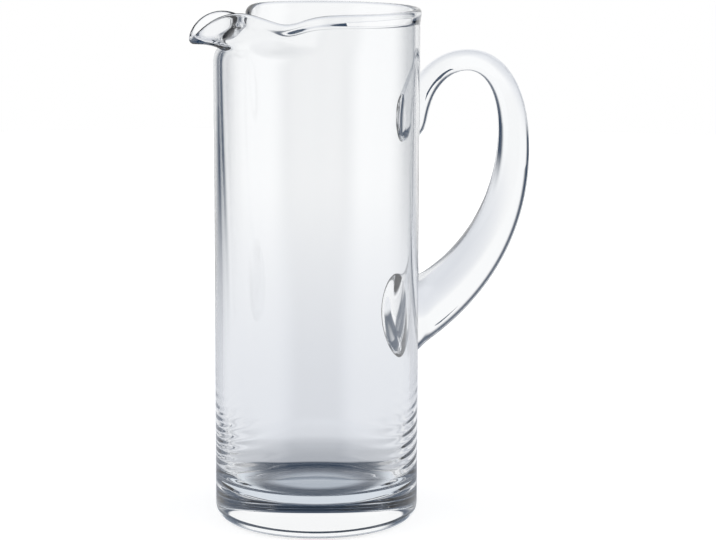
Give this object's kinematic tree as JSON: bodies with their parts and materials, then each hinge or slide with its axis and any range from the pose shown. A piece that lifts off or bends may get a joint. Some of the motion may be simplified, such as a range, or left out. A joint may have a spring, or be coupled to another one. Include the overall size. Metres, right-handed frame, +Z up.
{
  "type": "glass pitcher",
  "caption": "Tall cylindrical clear-glass pitcher with a heavy base, a pinched pouring lip and a thick drawn handle sealed to the wall at both ends, for serving water.",
  "frame": {"origin": "on the vessel's axis, at the middle of its flat underside", "axes": "+Z up along the vessel's axis, +X towards the handle, the pouring lip towards -X"},
  "size_m": [0.1873, 0.1, 0.252],
  "materials": {
    "clear_glass": "clear colourless glass, fire-polished, slightly wavy inside near the base"
  },
  "bodies": {
    "root": {"vessel": "clear_glass", "handle": "clear_glass"}
  },
  "joints": []
}
